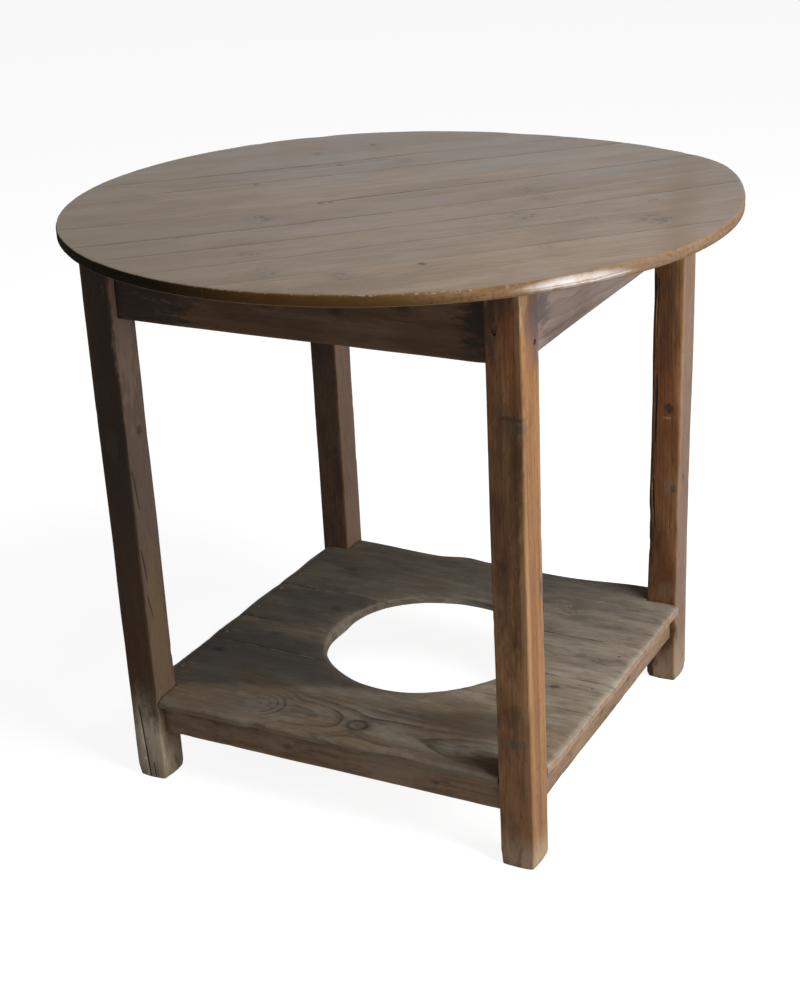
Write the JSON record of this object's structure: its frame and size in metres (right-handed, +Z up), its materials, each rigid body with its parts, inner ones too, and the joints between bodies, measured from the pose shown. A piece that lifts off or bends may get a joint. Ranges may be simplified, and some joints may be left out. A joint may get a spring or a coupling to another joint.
{
  "type": "round brazier table",
  "caption": "Round plank-topped pine table on a square pegged frame, with a low board shelf holed in the middle to take a brazier pan under the knees.",
  "frame": {"origin": "on the floor under the centre of the round top", "axes": "+Z up, -Y towards the frame's front side, +X along the front apron"},
  "size_m": [0.9, 0.9, 0.785],
  "materials": {
    "varnished_top": "worn satin varnish",
    "leg_pine": "waxed",
    "apron_pine": "waxed",
    "stretcher_pine": "worn",
    "scrubbed_shelf": "bare and weathered",
    "peg_wood": "dark end grain",
    "dowel_wood": "bare"
  },
  "bodies": {
    "root": {"leg_front_left": "leg_pine", "leg_front_right": "leg_pine", "leg_back_right": "leg_pine", "leg_back_left": "leg_pine", "apron_front": "apron_pine", "apron_right": "apron_pine", "apron_back": "apron_pine", "apron_left": "apron_pine", "stretcher_front": "stretcher_pine", "stretcher_right": "stretcher_pine", "stretcher_back": "stretcher_pine", "stretcher_left": "stretcher_pine", "peg_front_front_left": "peg_wood", "peg_front_front_right": "peg_wood", "peg_right_front_right": "peg_wood", "peg_right_back_right": "peg_wood", "peg_back_back_right": "peg_wood", "peg_back_back_left": "peg_wood", "peg_left_back_left": "peg_wood", "peg_left_front_left": "peg_wood", "top_plank_1": "varnished_top", "top_plank_2": "varnished_top", "top_plank_3": "varnished_top", "top_plank_4": "varnished_top", "top_plank_5": "varnished_top", "top_plank_6": "varnished_top", "top_plank_7": "varnished_top", "top_plank_8": "varnished_top", "top_dowel_1_left": "dowel_wood", "top_dowel_1_right": "dowel_wood", "top_dowel_2_left": "dowel_wood", "top_dowel_2_right": "dowel_wood", "top_dowel_3_left": "dowel_wood", "top_dowel_3_right": "dowel_wood", "top_dowel_4_left": "dowel_wood", "top_dowel_4_right": "dowel_wood", "top_dowel_5_left": "dowel_wood", "top_dowel_5_right": "dowel_wood", "top_dowel_6_left": "dowel_wood", "top_dowel_6_right": "dowel_wood", "top_dowel_7_left": "dowel_wood", "top_dowel_7_right": "dowel_wood", "top_dowel_8_left": "dowel_wood", "top_dowel_8_right": "dowel_wood", "shelf_board_1": "scrubbed_shelf", "shelf_board_2_left": "scrubbed_shelf", "shelf_board_2_right": "scrubbed_shelf", "shelf_board_3_left": "scrubbed_shelf", "shelf_board_3_right": "scrubbed_shelf", "shelf_board_4": "scrubbed_shelf"}
  },
  "joints": []
}
